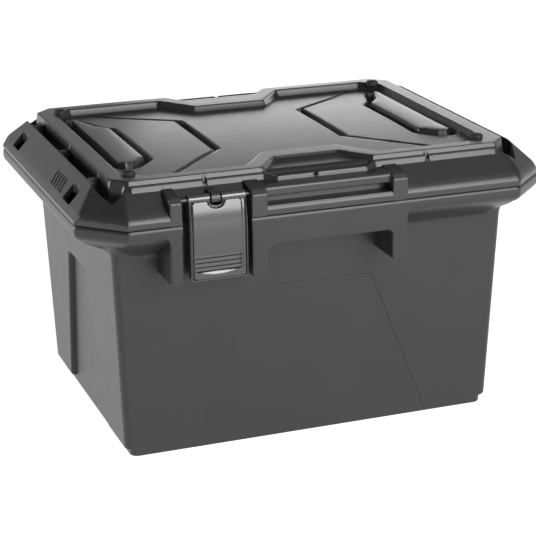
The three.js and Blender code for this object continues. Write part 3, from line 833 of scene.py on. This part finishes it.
def plastic(name, colour, roughness, grain, grain_depth, mottle=0.08, specular=0.5, coat=0.0):
    """Moulded plastic: fine grain in the surface, faint mottling and uneven gloss."""
    material = bpy.data.materials.new(name)
    material.use_nodes = True
    nodes, links = material.node_tree.nodes, material.node_tree.links
    shader = nodes["Principled BSDF"]
    place = nodes.new("ShaderNodeTexCoord")

    def noise(scale, detail):
        node = nodes.new("ShaderNodeTexNoise")
        node.inputs["Scale"].default_value = scale
        node.inputs["Detail"].default_value = detail
        links.new(place.outputs["Object"], node.inputs["Vector"])
        return node.outputs["Fac"]

    def spread(source, low, high):
        node = nodes.new("ShaderNodeMapRange")
        node.inputs["From Min"].default_value = 0.3
        node.inputs["From Max"].default_value = 0.7
        node.inputs["To Min"].default_value = low
        node.inputs["To Max"].default_value = high
        links.new(source, node.inputs["Value"])
        return node.outputs["Result"]

    blend = nodes.new("ShaderNodeMix")
    blend.data_type = "RGBA"
    blend.inputs["A"].default_value = (*[c * (1 - mottle) for c in colour], 1)
    blend.inputs["B"].default_value = (*[c * (1 + mottle) for c in colour], 1)
    links.new(spread(noise(22, 5), 0, 1), blend.inputs["Factor"])
    links.new(blend.outputs["Result"], shader.inputs["Base Color"])
    gloss = spread(noise(70, 4), roughness - GLOSS_SPREAD, roughness + GLOSS_SPREAD)
    links.new(gloss, shader.inputs["Roughness"])
    bump = nodes.new("ShaderNodeBump")
    bump.inputs["Strength"].default_value = 1.0
    bump.inputs["Distance"].default_value = grain_depth
    links.new(noise(grain, 2), bump.inputs["Height"])
    links.new(bump.outputs["Normal"], shader.inputs["Normal"])
    shader.inputs["Specular IOR Level"].default_value = specular
    shader.inputs["Coat Weight"].default_value = coat
    shader.inputs["Coat Roughness"].default_value = COAT_ROUGHNESS
    return material


def steel(name):
    """Blackened wire: fine lines along X."""
    material = bpy.data.materials.new(name)
    material.use_nodes = True
    nodes, links = material.node_tree.nodes, material.node_tree.links
    shader = nodes["Principled BSDF"]
    place, stretch = nodes.new("ShaderNodeTexCoord"), nodes.new("ShaderNodeMapping")
    stretch.inputs["Scale"].default_value = (30, 2500, 2500)
    noise, tone = nodes.new("ShaderNodeTexNoise"), nodes.new("ShaderNodeValToRGB")
    links.new(place.outputs["Object"], stretch.inputs["Vector"])
    links.new(stretch.outputs["Vector"], noise.inputs["Vector"])
    links.new(noise.outputs["Fac"], tone.inputs["Fac"])
    tone.color_ramp.elements[0].color = (0.03, 0.03, 0.032, 1)
    tone.color_ramp.elements[1].color = (0.07, 0.07, 0.072, 1)
    links.new(tone.outputs["Color"], shader.inputs["Base Color"])
    shader.inputs["Metallic"].default_value = 1.0
    shader.inputs["Roughness"].default_value = 0.3
    return material


SHELL = plastic("shell_plastic", (0.016, 0.016, 0.0165), 0.38, 1400, 0.00006)
LID = plastic("lid_plastic", (0.026, 0.0255, 0.027), 0.30, 1400, 0.00004)
LATCH = plastic("latch_plastic", (0.017, 0.017, 0.018), 0.19, 700, 0.00001, 0.05, 0.6, 0.8)
RUBBER = plastic("rubber", (0.018, 0.018, 0.018), 0.6, 1800, 0.00003)
STEEL = steel("pin_steel")


# --------------------------------------------------------------------- pieces

def place_piece(piece, name, body, material, nodes):
    """Names and finishes a piece, and sets what it rides on and which CAD nodes it stands in for."""
    piece.name = name
    piece.data.materials.clear()
    piece.data.materials.append(material)
    finish_surface(piece)
    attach(piece, body)
    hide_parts(*nodes)


place_piece(make_tub(), "tub_moulding", "tub", SHELL, ["tub"])
place_piece(make_lid(), "lid_moulding", "lid", LID, ["lid"])
latch_piece = make_latch()
place_piece(turned(latch_piece), "latch_moulding_back", "latch_back", LATCH, ["latch_back"])
place_piece(latch_piece, "latch_moulding_front", "latch_front", LATCH, ["latch_front"])
for corner in ("front_left", "front_right", "back_right", "back_left"):
    node = "stacking_pad_" + corner
    place_piece(make_pad("stud", node), "stud_" + corner, "lid", RUBBER, [node])

for node, material in (("lid_seal", RUBBER), ("latch_pin_front", STEEL), ("latch_pin_back", STEEL)):
    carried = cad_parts[node]
    carried.data.materials.clear()
    carried.data.materials.append(material)


# ----------------------------------------------------------------- the studio

def floor_material(name, glow, albedo):
    """A pale floor that glows a little, as a lit sweep does, so that shadows on it stay faint."""
    material = bpy.data.materials.new(name)
    material.use_nodes = True
    shader = material.node_tree.nodes["Principled BSDF"]
    shader.inputs["Base Color"].default_value = (albedo, albedo, albedo, 1)
    shader.inputs["Roughness"].default_value = 1.0
    shader.inputs["Specular IOR Level"].default_value = 0.0
    shader.inputs["Emission Color"].default_value = (1, 1, 1, 1)
    shader.inputs["Emission Strength"].default_value = glow
    return material


FLOOR_HALF = 9000
corners = [(x * FLOOR_HALF, y * FLOOR_HALF, 0) for x, y in ((-1, -1), (1, -1), (1, 1), (-1, 1))]
floor = make("floor", corners, [(0, 1, 2, 3)])
floor.data.materials.append(floor_material("floor_white", 0.93, 0.5))


CEILING_LIGHT, FRONT_LIGHT, BACK_LIGHT, LEFT_SHARE = 0.16, 0.19, 0.72, 0.85


def studio_world():
    """A white sweep round the horizon under a dark ceiling: brightest behind, a little darker to the left."""
    world = bpy.data.worlds.new("studio")
    bpy.context.scene.world = world
    world.use_nodes = True
    nodes, links = world.node_tree.nodes, world.node_tree.links
    nodes["Background"].inputs["Color"].default_value = (1, 1, 1, 1)
    place, split = nodes.new("ShaderNodeTexCoord"), nodes.new("ShaderNodeSeparateXYZ")
    links.new(place.outputs["Generated"], split.inputs["Vector"])

    def level(source, a, b, low, high):
        node = nodes.new("ShaderNodeMapRange")
        node.interpolation_type = "SMOOTHSTEP"
        for key, value in (("From Min", a), ("From Max", b), ("To Min", low), ("To Max", high)):
            node.inputs[key].default_value = value
        links.new(split.outputs[source], node.inputs["Value"])
        return node.outputs["Result"]

    def product(a, b):
        node = nodes.new("ShaderNodeMath")
        node.operation = "MULTIPLY"
        links.new(a, node.inputs[0])
        links.new(b, node.inputs[1])
        return node.outputs["Value"]

    around = product(level("Y", -0.5, 0.8, FRONT_LIGHT, BACK_LIGHT), level("X", -0.6, 0.4, LEFT_SHARE, 1.0))
    strength = product(level("Z", 0.14, 0.52, 1.0, CEILING_LIGHT), around)
    links.new(strength, nodes["Background"].inputs["Strength"])


studio_world()


def soft_box(name, place, size, power, diffuse=1.0, colour=(1, 1, 1)):
    """A soft box at a place in metres that faces the crate."""
    target = Vector((0, 0, 0.15))
    data = bpy.data.lights.new(name, "AREA")
    data.shape = "RECTANGLE"
    data.size, data.size_y = size
    data.energy = power
    data.color = colour
    data.diffuse_factor = diffuse
    light = bpy.data.objects.new(name, data)
    light.location = place
    light.rotation_euler = (target - Vector(place)).to_track_quat("-Z", "Y").to_euler()
    bpy.context.scene.collection.objects.link(light)


soft_box("back_strip", (0.50, 0.75, 0.36), (0.8, 0.16), 1.2)
soft_box("front_low_box", (0.75, -2.25, 0.42), (1.5, 0.42), 13, 0.12)
soft_box("front_high_box", (0.7, -2.1, 1.25), (1.4, 1.2), 48, 0.05)
soft_box("top_box", (0.7, -0.5, 2.1), (1.6, 1.6), 5)
soft_box("left_box", (-2.15, 1.0, 0.4), (1.2, 0.6), 30, 1.0, (1.0, 0.93, 0.88))
bpy.context.scene.view_settings.view_transform = "Standard"


def set_camera(place, azimuth, elevation, roll, lens, sensor=36):
    """A camera at a place in metres, from angles in degrees: its heading right of +Y, how far it looks
    down, and its turn about its own axis."""
    azimuth, elevation, roll = (math.radians(v) for v in (azimuth, elevation, roll))
    heading = Vector((math.sin(azimuth), math.cos(azimuth), 0))
    forward = heading * math.cos(elevation) - Vector((0, 0, math.sin(elevation)))
    level = Vector((heading.y, -heading.x, 0))
    upright = level.cross(forward)
    right = level * math.cos(roll) + upright * math.sin(roll)
    up = upright * math.cos(roll) - level * math.sin(roll)
    data = bpy.data.cameras.new("camera")
    data.sensor_width, data.lens = sensor, lens
    camera = bpy.data.objects.new("camera", data)
    rows = [(right[k], up[k], -forward[k], place[k]) for k in range(3)]
    camera.matrix_world = Matrix([*rows, (0, 0, 0, 1)])
    bpy.context.scene.collection.objects.link(camera)
    bpy.context.scene.camera = camera


set_camera((-0.507336, -1.393250, 0.608481), 20.1687, 18.6965, -0.6033, 119.11)
